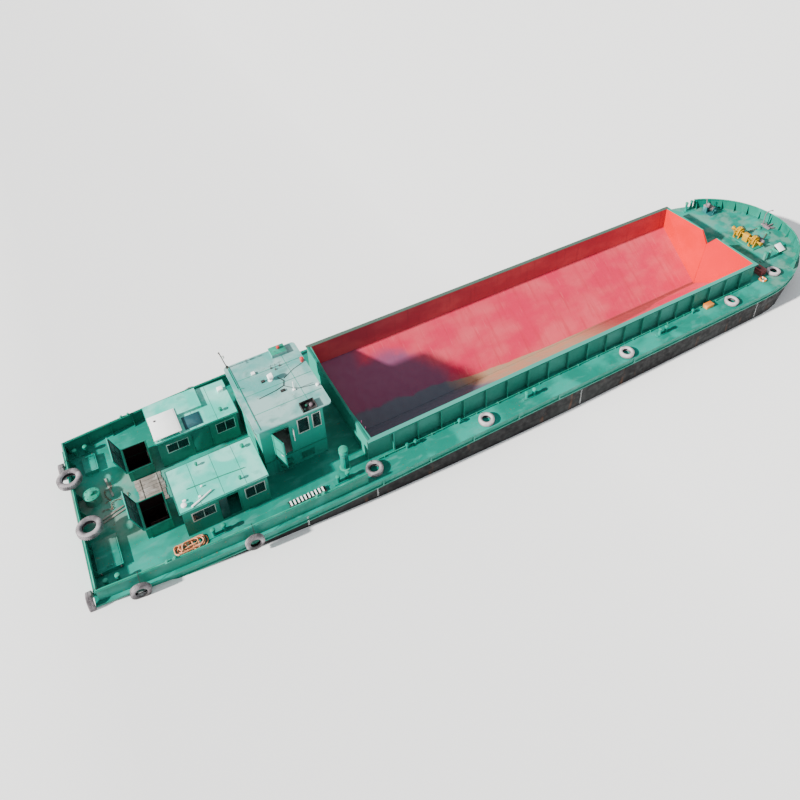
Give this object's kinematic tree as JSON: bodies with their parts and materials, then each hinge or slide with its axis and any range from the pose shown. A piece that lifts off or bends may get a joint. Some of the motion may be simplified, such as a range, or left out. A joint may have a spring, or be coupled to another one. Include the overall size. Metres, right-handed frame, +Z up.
{
  "type": "river barge",
  "caption": "Self-propelled river hopper barge at half scale: V-bottomed open hold, green deck, twin deckhouses, wheelhouse, tyre fenders, windlass, twin screws and rudders.",
  "frame": {"origin": "on the flat bottom, below the middle of the overall box", "axes": "+X towards the bow, +Y to port, +Z up; metres; the hull's bottom is at z = 0, the deck at z = 1.6"},
  "size_m": [25.16, 5.6542, 4.073],
  "materials": {
    "hull_black": "black hull paint, dull",
    "deck_green": "weathered turquoise green deck paint",
    "roof_green": "faded pale green roof paint",
    "hopper_red": "faded red hold paint",
    "coaming_green": "green gloss paint, chalked",
    "engine_grey": "grey green machinery paint",
    "tyre_rubber": "old weathered rubber, greyed",
    "bronze": "cast bronze",
    "yellow_paint": "yellow paint",
    "box_red": "dark red deck-box paint",
    "orange_rope": "orange polypropylene mooring rope",
    "dark_steel": "dark weathered steel"
  },
  "bodies": {
    "barge": {"anchor": "dark_steel", "bulkhead_aft": "hopper_red", "bulkhead_fore": "hopper_red", "bulwark_bow": "deck_green", "bulwark_stern": "deck_green", "coaming_port": "coaming_green", "coaming_starboard": "coaming_green", "companion_coaming_port": "deck_green", "companion_coaming_starboard": "deck_green", "deck_bow": "deck_green", "deck_box": "box_red", "deck_stern": "deck_green", "engine_port": "engine_grey", "engine_starboard": "engine_grey", "hopper_slope_port": "hopper_red", "hopper_slope_starboard": "hopper_red", "house_port": "deck_green", "house_starboard": "deck_green", "hull_bow": "hull_black", "hull_mid_port": "hull_black", "hull_mid_starboard": "hull_black", "hull_stern": "hull_black", "mast": "dark_steel", "rope_pile": "orange_rope", "side_deck_port": "deck_green", "side_deck_starboard": "deck_green", "tyre_port_1": "tyre_rubber", "tyre_port_2": "tyre_rubber", "tyre_port_3": "tyre_rubber", "tyre_rail_port": "tyre_rubber", "tyre_rail_starboard": "tyre_rubber", "tyre_starboard_1": "tyre_rubber", "tyre_starboard_2": "tyre_rubber", "tyre_starboard_3": "tyre_rubber", "tyre_starboard_4": "tyre_rubber", "tyre_starboard_5": "tyre_rubber", "tyre_starboard_6": "tyre_rubber", "tyre_starboard_7": "tyre_rubber", "tyre_transom_port": "tyre_rubber", "tyre_transom_starboard": "tyre_rubber", "wheelhouse_base": "deck_green", "wheelhouse_roof": "roof_green", "wheelhouse_walls": "deck_green", "winch_frame": "deck_green", "windlass_frame": "yellow_paint"},
    "propeller_port": {"propeller_port": "bronze"},
    "propeller_starboard": {"propeller_starboard": "bronze"},
    "rudder_port": {"rudder_port": "hull_black"},
    "rudder_starboard": {"rudder_starboard": "hull_black"},
    "wheelhouse_door": {"wheelhouse_door": "deck_green"},
    "companion_lid_port": {"companion_lid_port": "deck_green"},
    "companion_lid_starboard": {"companion_lid_starboard": "deck_green"},
    "stern_hatch_lid_port": {"stern_hatch_lid_port": "deck_green"},
    "stern_hatch_lid_starboard": {"stern_hatch_lid_starboard": "deck_green"},
    "windlass_shaft": {"windlass_shaft": "yellow_paint"},
    "winch_drum": {"winch_drum": "coaming_green"}
  },
  "joints": [
    {"name": "propeller_port_spin", "type": "hinge", "parent": "barge", "child": "propeller_port", "pos_m": [-11.42, 1.15, 0.36], "axis": [1, 0, 0], "continuous": true},
    {"name": "propeller_starboard_spin", "type": "hinge", "parent": "barge", "child": "propeller_starboard", "pos_m": [-11.42, -1.15, 0.36], "axis": [1, 0, 0], "continuous": true},
    {"name": "rudder_port_turn", "type": "hinge", "parent": "barge", "child": "rudder_port", "pos_m": [-11.9, 1.15, 0.4], "axis": [0, 0, 1], "range_deg": [-35, 35]},
    {"name": "rudder_starboard_turn", "type": "hinge", "parent": "barge", "child": "rudder_starboard", "pos_m": [-11.9, -1.15, 0.4], "axis": [0, 0, 1], "range_deg": [-35, 35]},
    {"name": "wheelhouse_door_hinge", "type": "hinge", "parent": "barge", "child": "wheelhouse_door", "pos_m": [-7.6, -1.1643, 2.6], "axis": [0, 0, 1], "range_deg": [-39, 71]},
    {"name": "companion_lid_port_hinge", "type": "hinge", "parent": "barge", "child": "companion_lid_port", "pos_m": [-10.9983, 0.935, 1.96], "axis": [0, 1, 0], "range_deg": [0, 107]},
    {"name": "companion_lid_starboard_hinge", "type": "hinge", "parent": "barge", "child": "companion_lid_starboard", "pos_m": [-10.9983, -0.935, 1.96], "axis": [0, 1, 0], "range_deg": [0, 107]},
    {"name": "stern_hatch_lid_port_hinge", "type": "hinge", "parent": "barge", "child": "stern_hatch_lid_port", "pos_m": [-11.785, 1.28, 1.7103], "axis": [1, 0, 0], "range_deg": [0, 100]},
    {"name": "stern_hatch_lid_starboard_hinge", "type": "hinge", "parent": "barge", "child": "stern_hatch_lid_starboard", "pos_m": [-11.9, -0.88, 1.7103], "axis": [-1, 0, 0], "range_deg": [0, 55]},
    {"name": "windlass_spin", "type": "hinge", "parent": "barge", "child": "windlass_shaft", "pos_m": [10.74, -0.32, 1.84], "axis": [0, 1, 0], "continuous": true},
    {"name": "winch_drum_spin", "type": "hinge", "parent": "barge", "child": "winch_drum", "pos_m": [11.17, 1.72, 1.77], "axis": [0, 1, 0], "continuous": true}
  ],
  "couplings": [
    {"joint": "rudder_starboard_turn", "follows": "rudder_port_turn", "ratio": 1}
  ]
}
